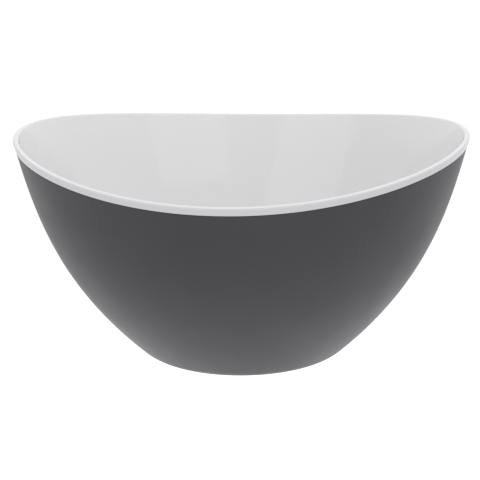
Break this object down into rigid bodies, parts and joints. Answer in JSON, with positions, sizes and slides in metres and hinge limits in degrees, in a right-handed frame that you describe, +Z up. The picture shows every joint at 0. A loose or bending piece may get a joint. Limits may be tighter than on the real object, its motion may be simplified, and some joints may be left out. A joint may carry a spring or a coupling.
{
  "type": "serving bowl",
  "caption": "Deep oval serving bowl with a saddle-shaped rim: a glossy white inner bowl whose lip covers the top edge of a dark satin outer shell.",
  "frame": {"origin": "middle of the base, on the surface that the bowl stands on", "axes": "+X along the bowl's length, towards one of the two high ends of the rim; +Y across it, towards a low side; +Z up"},
  "size_m": [0.2798, 0.2582, 0.1393],
  "materials": {
    "shell_grey": "satin dark grey moulded plastic",
    "bowl_white": "glossy white moulded plastic",
    "bond_clear": "cured translucent adhesive"
  },
  "bodies": {
    "root": {"outer_shell": "shell_grey", "inner_bowl": "bowl_white", "rim_bond": "bond_clear"}
  },
  "joints": []
}
